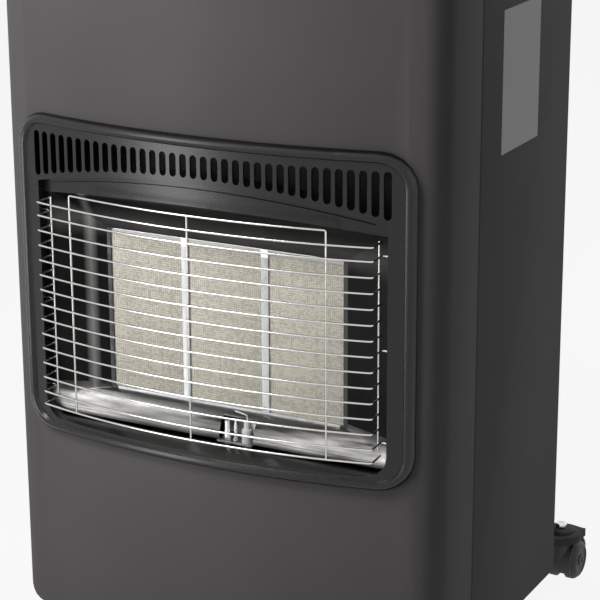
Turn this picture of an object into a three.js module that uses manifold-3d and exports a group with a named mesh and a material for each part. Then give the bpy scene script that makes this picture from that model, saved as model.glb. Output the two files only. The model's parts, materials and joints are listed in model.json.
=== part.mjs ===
// Portable gas cabinet heater on four swivel castors, in millimetres, +Z up.
// X runs across the heater, -Y is its front, z = 0 is the floor.
// While it is put together y = 0 is the plane of the two front corners. The finished
// assembly is then moved so that its origin lies at the bottom centre of its box.
import * as THREE from "three";
import { mergeVertices } from "three/addons/utils/BufferGeometryUtils.js";
import Module from "manifold-3d";

// ---- driving dimensions ----
const seat = 0.3; // gap left between two pieces that touch
const sheet = 1.5; // cabinet sheet steel
const thin = 1; // sheet of the reflector and the burner frame

// cabinet
const cabinetWidth = 420;
const bodyBottom = 46; // lower edge of the cabinet above the floor
const bodyTop = 690; // upper edge of the sheet-steel cabinet
const frontBulge = 25; // how far the middle of the front stands before its corners
const cornerRadius = 25; // vertical front corners, in plan
const lowerCorner = 28; // lower corners of the front panel, seen from the front
const seamDepth = 76; // the front panel's side return ends here
const seamGap = 1.2; // open groove between the return and the side panel
const sideRear = 278; // rear edge of the side panels
const tongueLength = 12; // joggled tongue of the side panel, behind the return
const foldWidth = 13; // inward folds of the side panels
const frontFoldDepth = 12; // lower fold of the front panel

// base tray and rear cover
const trayLift = 8; // underside of the tray above the cabinet's lower edge
const trayRim = 16;
const trayFront = 14; // front edge of the tray
const coverInset = 20; // rear cover's sides in from the side panels
const coverDepth = 112; // how far the rear cover stands behind the side panels
const coverSquareness = 4; // exponent of the rear cover's rounded plan
const coverSheet = 1.5;
const coverBottom = 66;
const coverLip = 14; // outward lip over the side panels' rear folds
const coverHeadroom = 4; // the rear cover ends this far under the cabinet's top edge
const ventLength = 62;
const ventWidth = 5;
const ventPitch = 12;
const ventRows = 5;
const partitionDepth = 92; // front face of the heat shield before the bottle bay
const partitionHeight = 612; // its height above the tray

// top cover
const topHeight = 40; // height of the top cover above the cabinet
const topWall = 2.5;
const topNose = 9; // upright part of its front edge
const topSlopeEnd = 66; // the control slope meets the flat top here
const topLocator = 6; // lip that drops inside the cabinet

// bezel round the burner
const bezelMargin = 20.5; // bezel in from the cabinet's sides
const bezelBottom = 224;
const bezelHeight = 288.5;
const bezelCorner = 30;
const bezelWall = 2.4;
const faceProud = 3; // bezel face before the panel surface
const rimProud = 6.5; // crest of the raised outer rim
const rimWidth = 10;
const windowMargin = 22.5; // width of the bezel beside its window
const windowRise = 12; // lower edge of the window above the bezel's lower edge
const windowCorner = 18;
const bandCrown = 40; // crown of the slot band's lower edge below the bezel's top edge
const bandDrop = 20; // how much lower that arch is at the window's sides
const browHeight = 21.5; // height of the stepped arch under the slot band, at the crown
const browDrop = 10; // how much lower the window's own arch is at its sides
const browSetback = 6.5; // the stepped arch behind the bezel face
const beadDrop = 6; // bead along the stepped arch, below the band's edge
const beadHeight = 1.8;
const beadProud = 1.6;
const slotCount = 35;
const slotPitch = 9.8;
const slotWidth = 6.4;
const slotTopMargin = 15.5; // slot tops below the bezel's top edge
const slotBandMargin = 4.2; // slot bottoms above the arch
const ductRear = 2; // the bezel's duct ends at this depth

// wire guard
const wire = 2;
const guardMargin = 7; // front bends in from the window's sides
const guardStand = 17; // guard before the panel surface, at the middle
const guardBulge = 20;
const guardRows = 15;
const guardPitch = 13.4;
const guardEndPitch = 11.6; // the first and the last gap are narrower
const guardBottom = 29; // lowest wire above the bezel's lower edge
const uprightMargin = 38; // outer uprights in from the front bends
const returnDepth = 18; // the wire ends run back this far
const returnToe = 1; // and turn inwards by this much
const returnEnd = 1.6; // past the side wire
const guardBend = 2.6;
const hookRows = [1, 7, 13]; // wires whose ends hook into the bezel's sides

// burner
const plaqueWidth = 76.8;
const plaqueHeight = 143.7;
const plaqueThickness = 13;
const plaquePitch = 77.8;
const plaqueBottom = 260.5;
const plaqueFace = 22.3; // depth of the plaques' radiant face
const separator = 7;
const gasketHeight = 6;
const plenumDepth = 30; // behind the plaques
const plenumWall = 2;
const plenumFlange = 6;
const troughRadius = 17; // curved lower reflector
const reflectorTop = 441;
const venturiOuter = 22;
const venturiLength = 44;
const venturiFlare = 4;
const venturiSetback = 28; // venturi axis behind the plaques' face

// gas train
const railSize = 12;
const injectorGap = 3; // injector tip below the venturi mouth
const injectorHeight = 13;
const pipe = 6;
const pilotAcross = 12;
const pilotDepth = 6;

// controls
const controlAcross = 118; // middle of the control recess
const recessLength = 112;
const recessWidth = 58;
const recessDepth = 6;
const plateThickness = 1.5;
const knobAcross = -22;
const knobDiameter = 40;
const knobHeight = 19;
const knobTravel = 5;
const buttonAcross = 32;
const buttonDiameter = 14;
const buttonHeight = 6;
const buttonTravel = 5;
const valveWidth = 42;
const valveDepth = 34;
const valveHeight = 32;

// castors
const wheelDiameter = 40;
const wheelWidth = 12;
const wheelDome = 4; // rounding of the outer faces
const webWidth = 10; // hood web between the two wheels
const hoodWall = 2;
const hoodGap = 1.5; // between tread and hood
const castorTrail = 14; // wheels behind the swivel axis, as after a pull forward
const stemDiameter = 6;
const axleDiameter = 5;
const bracketDepth = 7.5;
const bracketRadius = 20;
const bossHeight = 4;
const rearStemInset = 20; // rear swivel axes in from the cabinet's sides
const rearStemReach = 74; // and behind its side panels
const frontStemInset = 52;
const frontStemDepth = 62;
const armLength = 46;
const bracketTip = 25.3; // pointed outer end of the plate
const domeRadius = 13.5;

// ---- solids ----
const wasm = await Module();
wasm.setup();

function solid(geometry) {
  const bare = geometry.clone();
  bare.deleteAttribute("normal");
  bare.deleteAttribute("uv");
  const merged = mergeVertices(bare, 1e-3);
  const mesh = new wasm.Mesh({
    numProp: 3,
    vertProperties: merged.attributes.position.array,
    triVerts: new Uint32Array(merged.index.array),
  });
  return new wasm.Manifold(mesh);
}

const join = (...parts) => parts.reduce((whole, part) => whole.add(part));
const cut = (body, ...tools) => tools.reduce((left, tool) => left.subtract(tool), body);

function geometryOf(body) {
  const { numProp, vertProperties, triVerts } = body.getMesh();
  const positions = new Float32Array((vertProperties.length / numProp) * 3);
  for (let i = 0; i * numProp < vertProperties.length; i++) {
    positions.set(vertProperties.subarray(i * numProp, i * numProp + 3), i * 3);
  }
  const geometry = new THREE.BufferGeometry();
  geometry.setAttribute("position", new THREE.BufferAttribute(positions, 3));
  geometry.setIndex(new THREE.BufferAttribute(new Uint32Array(triVerts), 1));
  geometry.computeVertexNormals();
  return geometry;
}

// ---- shapes and primitives ----
const V = (x, y, z) => new THREE.Vector3(x, y, z);

function outline(points, hole) {
  const shape = new THREE.Shape(points.map(([u, v]) => new THREE.Vector2(u, v)));
  if (hole) shape.holes.push(new THREE.Path(hole.map(([u, v]) => new THREE.Vector2(u, v))));
  return shape;
}

function extrude(shape, depth) {
  return new THREE.ExtrudeGeometry(shape, { depth, bevelEnabled: false, curveSegments: 6 });
}

// Extrusions along each axis: a plan (x, y), an elevation (x, z) and a side view (y, z).
const prismZ = (shape, z0, z1) => solid(extrude(shape, z1 - z0).translate(0, 0, z0));
const prismY = (shape, y0, y1) => {
  return solid(extrude(shape, y1 - y0).rotateX(Math.PI / 2).translate(0, y1, 0));
};
const turnToX = new THREE.Matrix4().makeBasis(V(0, 1, 0), V(0, 0, 1), V(1, 0, 0));
const prismX = (shape, x0, x1) => {
  return solid(extrude(shape, x1 - x0).applyMatrix4(turnToX).translate(x0, 0, 0));
};

function boxGeometry(x0, x1, y0, y1, z0, z1) {
  const box = new THREE.BoxGeometry(x1 - x0, y1 - y0, z1 - z0);
  return box.translate((x0 + x1) / 2, (y0 + y1) / 2, (z0 + z1) / 2);
}
const block = (...sides) => solid(boxGeometry(...sides));

// A turned solid on the Z axis, from its (radius, z) profile, listed upwards.
function turned(profile, sides) {
  const points = profile.map(([r, z]) => new THREE.Vector2(r, z));
  return new THREE.LatheGeometry(points, sides).rotateX(Math.PI / 2);
}

function rod(from, to, radius, sides = 12) {
  const length = from.distanceTo(to);
  const bar = new THREE.CylinderGeometry(radius, radius, length, sides);
  const turn = new THREE.Quaternion().setFromUnitVectors(
    V(0, 1, 0),
    to.clone().sub(from).normalize(),
  );
  bar.applyQuaternion(turn);
  const middle = from.clone().add(to).multiplyScalar(0.5);
  return solid(bar.translate(middle.x, middle.y, middle.z));
}

// A route through chosen points, with one step of the tube for each of them.
class Route extends THREE.Curve {
  constructor(points) {
    super();
    this.points = points;
  }
  getPoint(t) {
    const place = t * (this.points.length - 1);
    const i = Math.min(Math.floor(place + 1e-9), this.points.length - 2);
    return this.points[i].clone().lerp(this.points[i + 1], place - i);
  }
  getTangent(t) {
    const i = Math.round(t * (this.points.length - 1));
    const before = this.points[Math.max(i - 1, 0)];
    const after = this.points[Math.min(i + 1, this.points.length - 1)];
    return after.clone().sub(before).normalize();
  }
  getPointAt(t) {
    return this.getPoint(t);
  }
  getTangentAt(t) {
    return this.getTangent(t);
  }
}

// Corners rounded by a bend that starts `reach` before each of them.
function bent(corners, reach, steps = 2) {
  const points = [corners[0]];
  for (let i = 1; i < corners.length - 1; i++) {
    const corner = corners[i];
    const before = corners[i - 1].clone().sub(corner).setLength(reach).add(corner);
    const after = corners[i + 1].clone().sub(corner).setLength(reach).add(corner);
    points.push(...new THREE.QuadraticBezierCurve3(before, corner, after).getPoints(steps));
  }
  points.push(corners.at(-1));
  return points;
}

function tube(points, diameter, sides = 6) {
  const section = [];
  for (let i = 0; i < sides; i++) {
    const angle = ((i + 0.5) / sides) * 2 * Math.PI;
    section.push([(Math.cos(angle) * diameter) / 2, (Math.sin(angle) * diameter) / 2]);
  }
  const geometry = new THREE.ExtrudeGeometry(outline(section), {
    steps: points.length - 1,
    extrudePath: new Route(points),
    bevelEnabled: false,
  });
  return solid(geometry);
}

// A closed solid through rings of equal length, capped at both ends.
function loft(rings) {
  const count = rings[0].length;
  const middle = (ring) => ring.reduce((sum, p) => sum.add(p), V(0, 0, 0)).divideScalar(count);
  const points = [...rings.flat(), middle(rings[0]), middle(rings.at(-1))];
  const faces = [];
  for (let i = 0; i < count; i++) {
    const next = (i + 1) % count;
    for (let r = 0; r + 1 < rings.length; r++) {
      const a = r * count;
      const b = a + count;
      faces.push(a + i, a + next, b + next, a + i, b + next, b + i);
    }
    const last = (rings.length - 1) * count;
    faces.push(next, i, points.length - 2);
    faces.push(last + i, last + next, points.length - 1);
  }
  const geometry = new THREE.BufferGeometry().setFromPoints(points);
  geometry.setIndex(faces);
  return solid(geometry);
}

// ---- assembly ----
const heater = new THREE.Group();

const finishes = {
  coat: { color: 0x3b393b, roughness: 0.55, metalness: 0.2 },
  gloss: { color: 0x151415, roughness: 0.25, metalness: 0.1 },
  moulded: { color: 0x1d1c1d, roughness: 0.6, metalness: 0 },
  chrome: { color: 0xd8d6d3, roughness: 0.15, metalness: 1 },
  polished: { color: 0x8d8a88, roughness: 0.2, metalness: 1 },
  ceramic: { color: 0xcdc1a8, roughness: 0.9, metalness: 0 },
  fibre: { color: 0xeceae4, roughness: 1, metalness: 0 },
  galvanised: { color: 0x9c9d9e, roughness: 0.45, metalness: 0.9 },
  brass: { color: 0xb8974f, roughness: 0.35, metalness: 1 },
  copper: { color: 0xa8704a, roughness: 0.4, metalness: 1 },
  insulator: { color: 0xf2f0ea, roughness: 0.35, metalness: 0 },
  rubber: { color: 0x232324, roughness: 0.8, metalness: 0 },
};

function add(name, body, finish, group = heater) {
  const mesh = new THREE.Mesh(geometryOf(body), new THREE.MeshStandardMaterial(finishes[finish]));
  mesh.name = name;
  group.add(mesh);
  return mesh;
}

// ---- cabinet shell ----
const half = cabinetWidth / 2;
const coverHalfWidth = half - coverInset;
const bezelHalf = half - bezelMargin;
const windowHalf = bezelHalf - windowMargin;
const guardHalf = windowHalf - guardMargin;
const guardUpright = guardHalf - uprightMargin;
const frontStem = [half - frontStemInset, frontStemDepth];
const rearStem = [half - rearStemInset, sideRear + rearStemReach];
const innerHalf = half - sheet;
const frontCentre = (half - cornerRadius) ** 2 / (2 * frontBulge) - frontBulge / 2;
const frontRadius = frontCentre + frontBulge;

// Depth of the bulged front surface at x, or of a surface this far proud of it.
function frontDepth(x, proud = 0) {
  return frontCentre - Math.sqrt((frontRadius + proud) ** 2 - x * x);
}

// Plan of the cabinet's front half, set in by `inset` and closed at depth `rear`.
function frontPlan(inset, rear) {
  const filletX = half - cornerRadius;
  const filletY = frontCentre - Math.sqrt((frontRadius - cornerRadius) ** 2 - filletX ** 2);
  const radius = cornerRadius - inset;
  const turnEnd = Math.atan2(filletX, frontCentre - filletY);
  const right = [];
  const arcSteps = 14;
  for (let i = 0; i < arcSteps; i++) {
    const a = (turnEnd * i) / arcSteps;
    const r = frontRadius - inset;
    right.push([r * Math.sin(a), frontCentre - r * Math.cos(a)]);
  }
  const filletSteps = 7;
  for (let i = 0; i <= filletSteps; i++) {
    const a = turnEnd + ((Math.PI / 2 - turnEnd) * i) / filletSteps;
    right.push([filletX + radius * Math.sin(a), filletY - radius * Math.cos(a)]);
  }
  right.push([half - inset, rear]);
  const left = right.slice(1).reverse().map(([x, y]) => [-x, y]);
  return outline([...left, ...right]);
}

// Elevation of a rounded rectangle between two heights.
function roundedElevation(halfWidth, z0, z1, lower, upper, steps = 6) {
  const points = [];
  const corner = (x, z, radius, start) => {
    for (let i = 0; i <= steps; i++) {
      const a = start + ((Math.PI / 2) * i) / steps;
      points.push([x + radius * Math.cos(a), z + radius * Math.sin(a)]);
    }
  };
  corner(halfWidth - lower, z0 + lower, lower, -Math.PI / 2);
  corner(halfWidth - upper, z1 - upper, upper, 0);
  corner(-halfWidth + upper, z1 - upper, upper, Math.PI / 2);
  corner(-halfWidth + lower, z0 + lower, lower, Math.PI);
  return points;
}

const bezelTop = bezelBottom + bezelHeight;
const panelFront = -frontBulge - 2 * rimProud;

// Outline of the bezel, set in by `inset`.
function bezelElevation(inset, steps) {
  const radius = bezelCorner - inset;
  const [z0, z1] = [bezelBottom + inset, bezelTop - inset];
  return roundedElevation(bezelHalf - inset, z0, z1, radius, radius, steps);
}

function frontPanel() {
  const above = 5;
  const skin = (inset, rear, top) => {
    const plan = prismZ(frontPlan(inset, rear), bodyBottom, top);
    const radius = lowerCorner - inset;
    const front = roundedElevation(half - inset, bodyBottom + inset, top + 9, radius, 1);
    return plan.intersect(prismY(outline(front), panelFront, rear));
  };
  const pan = cut(skin(0, seamDepth, bodyTop), skin(sheet, seamDepth + above, bodyTop + above));
  const foldEnd = half - lowerCorner;
  const behindFold = block(
    -foldEnd, foldEnd, frontFoldDepth, seamDepth + above, bodyBottom - 1, bodyBottom + 2 * sheet,
  );
  const opening = prismY(outline(bezelElevation(rimWidth - 1.5)), panelFront, seamDepth);
  return cut(pan, behindFold, opening);
}

function sidePanel(side) {
  const tongueOut = innerHalf - seat;
  const start = seamDepth + seamGap;
  const rear = sideRear;
  const profile = [
    [half, start + sheet],
    [half, rear],
    [half - foldWidth, rear],
    [half - foldWidth, rear - sheet],
    [innerHalf, rear - sheet],
    [innerHalf, start + 2 * sheet],
    [tongueOut - sheet, start + sheet],
    [tongueOut - sheet, start - seamGap - tongueLength],
    [tongueOut, start - seamGap - tongueLength],
    [tongueOut, start],
  ];
  const points = profile.map(([x, y]) => [side * x, y]);
  if (side < 0) points.reverse();
  const wall = prismZ(outline(points), bodyBottom, bodyTop);
  const across = [side * (half - foldWidth), side * (half - sheet / 2)].sort((a, b) => a - b);
  const fold = (z0) => block(...across, start + 12, rear - sheet / 2, z0, z0 + sheet);
  const belowTongue = block(-half, half, 0, start + sheet, 0, bodyBottom + lowerCorner + seat);
  return join(cut(wall, belowTongue), fold(bodyBottom), fold(bodyTop - sheet));
}

// ---- base tray, heat shield and rear cover ----
const trayBottom = bodyBottom + trayLift;
const trayTop = trayBottom + sheet;

// Rounded plan behind the side panels, set in by `inset`, from depth `front`.
function rearPlan(inset, front) {
  const across = coverHalfWidth - inset;
  const deep = coverDepth - inset;
  const power = 2 / coverSquareness;
  const points = [];
  const steps = 28;
  for (let i = 0; i <= steps; i++) {
    const a = (Math.PI * i) / steps;
    const x = Math.sign(Math.cos(a)) * Math.abs(Math.cos(a)) ** power * across;
    points.push([x, sideRear + Math.max(Math.sin(a), 0) ** power * deep]);
  }
  return outline([...points, [-across, front], [across, front]]);
}

function baseTray() {
  const foldClear = foldWidth + 2 * seat;
  const seam = seamDepth + seamGap;
  const layer = (wall, z0, z1) => {
    const narrow = half - lowerCorner - wall;
    const wide = innerHalf - seat - wall;
    const rear = prismZ(rearPlan(coverSheet + seat + wall, seam + 20), z0, z1);
    return join(
      block(-narrow, narrow, trayFront + wall, seam + 20, z0, z1),
      block(-wide, wide, seam + 2 * sheet + wall, sideRear - sheet - seat - wall, z0, z1),
      rear,
    );
  };
  const pan = layer(0, trayBottom, trayTop + trayRim);
  const body = cut(pan, layer(sheet, trayTop, trayTop + trayRim + 1));
  const behind = sideRear - sheet - seat;
  const corner = (side) => {
    const across = [side * (half - foldClear), side * half].sort((a, b) => a - b);
    return block(...across, behind, behind + 2 * sheet, 0, bodyTop);
  };
  const holes = [-1, 1].flatMap((side) => {
    const clearOf = ([x, y], radius) => {
      return rod(V(side * x, y, 0), V(side * x, y, bodyTop), radius, 16);
    };
    return [clearOf(frontStem, bracketRadius - 2), clearOf(rearStem, domeRadius + 1)];
  });
  return cut(body, corner(-1), corner(1), ...holes);
}

function heatShield() {
  const z0 = trayTop + seat;
  const z1 = z0 + partitionHeight;
  const across = innerHalf - seat;
  const flange = 11;
  const rear = partitionDepth + sheet;
  const profile = [
    [-across, rear + flange],
    [-across, partitionDepth],
    [across, partitionDepth],
    [across, rear + flange],
    [across - sheet, rear + flange],
    [across - sheet, rear],
    [-across + sheet, rear],
    [-across + sheet, rear + flange],
  ];
  const plate = prismZ(outline(profile), z0, z1);
  const rimInset = 3 * sheet + 3 * seat;
  const rimTop = z0 + trayRim + seat;
  const notch = (side) => {
    const x = [side * (half - rimInset), side * half].sort((a, b) => a - b);
    return block(...x, partitionDepth - 1, rear + flange + 1, z0 - 1, rimTop);
  };
  return cut(plate, notch(-1), notch(1));
}

function rearCover() {
  const top = bodyTop - coverHeadroom;
  const front = sideRear + seat;
  const shell = cut(
    prismZ(rearPlan(0, front - 4), coverBottom, top),
    prismZ(rearPlan(coverSheet, front - 5), coverBottom - 1, top - coverSheet),
    block(-half, half, 0, front, 0, bodyTop),
  );
  const vents = [];
  const rear = sideRear + coverDepth;
  for (const z of [coverBottom + 40, top - 40 - ventPitch * (ventRows - 1)]) {
    for (const x of [-ventLength / 2 - 8, ventLength / 2 + 8]) {
      for (let row = 0; row < ventRows; row++) {
        const height = z + row * ventPitch;
        const points = roundedElevation(ventLength / 2, 0, ventWidth, 2.4, 2.4, 1);
        const slot = outline(points.map(([u, v]) => [u + x, v + height]));
        vents.push(prismY(slot, rear - 12, rear + 5));
      }
    }
  }
  const lip = (side) => {
    const inner = coverHalfWidth - coverSheet;
    const x = [side * inner, side * (inner + coverLip)].sort((a, b) => a - b);
    return block(...x, front, front + coverSheet, coverBottom, top);
  };
  return join(cut(shell, ...vents), lip(-1), lip(1));
}

// ---- bezel ----
const windowBottom = bezelBottom + windowRise;
const bandZ = bezelTop - bandCrown;
const browZ = bandZ - browHeight;
const arch = (x, crown, drop) => crown - drop * (x / windowHalf) ** 2;

// The window's elevation under an arch, grown outwards by `grow`.
function windowElevation(crown, drop, grow = 0, rearward = 5) {
  const across = windowHalf + grow;
  const points = roundedElevation(across, windowBottom - grow, crown, windowCorner + grow, 1, rearward);
  const lower = points.filter(([, z]) => z < windowBottom + windowCorner + 1e-6);
  const steps = 14;
  const upper = [];
  for (let i = 0; i <= steps; i++) {
    const x = across * (1 - (2 * i) / steps);
    upper.push([x, arch(x, crown, drop) + grow]);
  }
  const right = lower.filter(([x]) => x > 0);
  const left = lower.filter(([x]) => x < 0);
  return outline([...right, ...upper, ...left]);
}

// A layer that follows the bulged front, between two heights above its surface.
function curvedLayer(low, high, halfWidth, z0, z1) {
  const steps = 20;
  const across = (proud, sign) => {
    return Array.from({ length: steps + 1 }, (_, i) => {
      const x = sign * halfWidth * (1 - (2 * i) / steps);
      return [x, frontDepth(x, proud)];
    });
  };
  return prismZ(outline([...across(low, 1), ...across(high, -1)]), z0, z1);
}

// Everything in the window between the duct's rear edge and a surface this far proud.
function behindSurface(proud) {
  const across = windowHalf + bezelWall + 0.5;
  const steps = 20;
  const front = Array.from({ length: steps + 1 }, (_, i) => {
    const x = across * ((2 * i) / steps - 1);
    return [x, frontDepth(x, proud)];
  });
  const plan = outline([[-across, ductRear], ...front, [across, ductRear]]);
  return prismZ(plan, bezelBottom, bezelTop);
}

// The raised rim: one rounded section carried round the bezel's outline.
function bezelRim() {
  const section = [
    [0, 0], [1.2, rimProud - 2.5], [3, rimProud - 0.6], [5, rimProud],
    [7.5, rimProud - 0.8], [rimWidth, faceProud - 1], [rimWidth, 0],
  ];
  const loops = section.map(([inset, proud]) => {
    return bezelElevation(inset, 5).map(([x, z]) => V(x, frontDepth(x, seat + proud), z));
  });
  return ring(divided(loops));
}

// Long straight runs of each loop get extra points, so that they follow the bulge.
function divided(loops) {
  const count = loops[0].length;
  const spacing = 34;
  const pieces = loops[0].map((p, i) => {
    const next = loops[0][(i + 1) % count];
    return Math.max(1, Math.round(Math.abs(next.x - p.x) / spacing));
  });
  return loops.map((loop) => {
    return loop.flatMap((p, i) => {
      const next = loop[(i + 1) % count];
      const lift = p.y - frontDepth(p.x, 0);
      return Array.from({ length: pieces[i] }, (_, k) => {
        const q = p.clone().lerp(next, k / pieces[i]);
        q.y = frontDepth(q.x, 0) + lift;
        return q;
      });
    });
  });
}

// A closed ring: loops of equal length round the outline, joined to each other in turn.
function ring(loops) {
  const count = loops[0].length;
  const faces = [];
  loops.forEach((_, r) => {
    const a = r * count;
    const b = ((r + 1) % loops.length) * count;
    for (let i = 0; i < count; i++) {
      const next = (i + 1) % count;
      faces.push(a + i, b + next, b + i, a + i, a + next, b + next);
    }
  });
  const geometry = new THREE.BufferGeometry().setFromPoints(loops.flat());
  geometry.setIndex(faces);
  return solid(geometry);
}

function louvreSlot(x) {
  const radius = slotWidth / 2;
  const top = bezelTop - slotTopMargin - radius;
  const bottom = arch(x, bandZ, bandDrop) + slotBandMargin + radius;
  const points = [];
  const steps = 4;
  for (let i = 0; i <= steps; i++) {
    const a = (Math.PI * i) / steps;
    points.push([x + radius * Math.cos(a), top + radius * Math.sin(a)]);
  }
  for (let i = 0; i <= steps; i++) {
    const a = Math.PI + (Math.PI * i) / steps;
    points.push([x + radius * Math.cos(a), bottom + radius * Math.sin(a)]);
  }
  return prismY(outline(points), panelFront, seamDepth);
}

const guardLowest = bezelBottom + guardBottom;
function guardHeights() {
  const heights = [guardLowest];
  for (let row = 1; row < guardRows; row++) {
    const step = row === 1 || row === guardRows - 1 ? guardEndPitch : guardPitch;
    heights.push(heights.at(-1) + step);
  }
  return heights;
}
const guardTop = guardHeights().at(-1) + guardEndPitch;

function bezel() {
  const layer = (low, high) => curvedLayer(low, high, bezelHalf - 1, bezelBottom, bezelTop);
  const through = (shape) => prismY(shape, panelFront, seamDepth);
  const faceOutline = through(outline(bezelElevation(rimWidth * 0.64, 5)));
  const face = layer(seat + faceProud - bezelWall, seat + faceProud).intersect(faceOutline);
  const outer = windowElevation(bandZ, bandDrop);
  const inner = windowElevation(browZ, browDrop);
  const ductOuter = through(windowElevation(bandZ, bandDrop, bezelWall));
  const duct = cut(ductOuter, through(outer)).intersect(behindSurface(faceProud + seat / 2));
  const brow = faceProud - browSetback;
  const browRegion = cut(through(windowElevation(bandZ, bandDrop, bezelWall / 2)), through(inner));
  const browPlate = layer(brow - bezelWall, brow).intersect(browRegion);
  const beadRegion = cut(
    through(windowElevation(bandZ - beadDrop, bandDrop - 2)),
    through(windowElevation(bandZ - beadDrop - beadHeight, bandDrop - 2, 0.01)),
    block(-half, half, panelFront, seamDepth, 0, browZ),
  );
  const bead = layer(brow - bezelWall / 2, brow + beadProud).intersect(beadRegion);
  const hoodRegion = cut(
    through(windowElevation(browZ, browDrop, bezelWall)), through(inner),
    block(-half, half, panelFront, seamDepth, 0, browZ - browDrop - 1),
  );
  const hood = hoodRegion.intersect(behindSurface(brow - bezelWall / 2));
  const hooked = guardHeights().filter((z, row) => hookRows.includes(row));
  const wireHoles = hooked.flatMap((z) => [-1, 1].map((side) => {
    const x = [side * (windowHalf - 1), side * (windowHalf + bezelWall + 1)].sort((a, b) => a - b);
    const y = wireTip().y;
    const reach = wire / 2 + 2 * seat;
    return block(...x, y - reach, y + reach, z - reach, z + reach);
  }));
  const slots = Array.from({ length: slotCount }, (_, i) => {
    return louvreSlot((i - (slotCount - 1) / 2) * slotPitch);
  });
  const facePlate = cut(face, through(outer), ...slots);
  return cut(join(facePlate, bezelRim(), duct, browPlate, bead, hood), ...wireHoles);
}

// ---- wire guard ----
const guardFront = -frontBulge - guardStand;
const guardRadius = (guardHalf ** 2 + guardBulge ** 2) / (2 * guardBulge);
const guardDepth = (x) => guardFront + guardRadius - Math.sqrt(guardRadius ** 2 - x * x);

function wireTip() {
  return V(windowHalf + bezelWall - seat, guardDepth(guardHalf) + returnDepth + wire, 0);
}

function guardWire(z, row) {
  const corner = V(guardHalf, guardDepth(guardHalf), z);
  const toe = V(guardHalf - returnToe, corner.y + returnDepth, z);
  const end = hookRows.includes(row)
    ? [toe.clone().add(V(0, wire, 0)), wireTip().setZ(z)]
    : [toe.clone().add(V(0, returnEnd, 0))];
  const right = [];
  const steps = 4;
  for (let i = 0; i < steps; i++) {
    const x = (guardHalf * i) / steps;
    right.push(V(x, guardDepth(x), z));
  }
  right.push(...bent([right.pop(), corner, ...end], guardBend, 1));
  const left = right.slice(1).reverse().map((p) => V(-p.x, p.y, p.z));
  return tube([...left, ...right], wire);
}

function wireGuard() {
  const heights = guardHeights();
  const behind = 0.86 * wire; // welded where the wires cross
  const place = (x, z) => V(x, guardDepth(x) + behind, z);
  const frame = [place(guardUpright, heights[0] - wire / 2), place(guardUpright, guardTop)];
  for (let i = 1; i < 6; i++) frame.push(place(guardUpright * (1 - i / 3), guardTop));
  frame.push(place(-guardUpright, guardTop), place(-guardUpright, heights[0] - wire / 2));
  const corners = [frame[0], frame[1], frame[2]];
  const first = bent(corners, wire);
  const last = bent([frame.at(-3), frame.at(-2), frame.at(-1)], wire);
  const hoop = tube([...first.slice(0, -1), ...frame.slice(2, -2), ...last.slice(1)], wire);
  const middle = rod(place(0, heights[0] - wire), place(0, guardTop), wire / 2, 6);
  const sides = [-1, 1].map((side) => {
    const y = guardDepth(guardHalf) + returnDepth;
    const x = guardHalf - returnToe - behind;
    const low = V(side * x, y, heights[1] - 4 * wire);
    return rod(low, V(side * x, y, heights.at(-1) + wire / 2), wire / 2, 6);
  });
  return join(...heights.map(guardWire), hoop, middle, ...sides);
}

// ---- burner ----
const plaqueTop = plaqueBottom + plaqueHeight;
const burnerHalf = plaquePitch + plaqueWidth / 2;
const plenumHalf = burnerHalf + seat;
const plenumBottom = plaqueBottom - seat;
const plenumTop = plaqueTop + gasketHeight + 2 * seat;
const flangeHalf = plenumHalf + plenumWall + plenumFlange;
const flangeBottom = plenumBottom - plenumWall - plenumFlange;
const flangeTop = plenumTop + plenumWall + plenumFlange;
const plaquePlaces = [["left", -1], ["centre", 0], ["right", 1]];
const lap = (plaqueWidth - (plaquePitch - separator)) / 2; // frame over the plaque's edge
const frameRear = plaqueFace - seat;

function plaque(place) {
  const x = place * plaquePitch;
  const side = plaqueWidth / 2;
  return block(
    x - side, x + side, plaqueFace, plaqueFace + plaqueThickness, plaqueBottom, plaqueTop,
  );
}

function gasketStrip() {
  const low = plaqueTop + seat;
  return block(
    -burnerHalf, burnerHalf, plaqueFace, plaqueFace + plaqueThickness, low, low + gasketHeight,
  );
}

function burnerFrame() {
  const plate = block(-flangeHalf, flangeHalf, frameRear - thin, frameRear, flangeBottom, flangeTop);
  const windows = plaquePlaces.map(([, place]) => {
    const x = place * plaquePitch;
    const side = plaqueWidth / 2 - lap;
    const top = plaqueTop + gasketHeight - 1.5;
    return block(x - side, x + side, frameRear - 5, frameRear + 5, plaqueBottom + lap, top);
  });
  return cut(plate, ...windows);
}

const plenumRear = plaqueFace + plaqueThickness + plenumDepth;
const venturiDepth = plaqueFace + venturiSetback;
const venturiMouth = plenumBottom - plenumWall - venturiLength;

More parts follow.
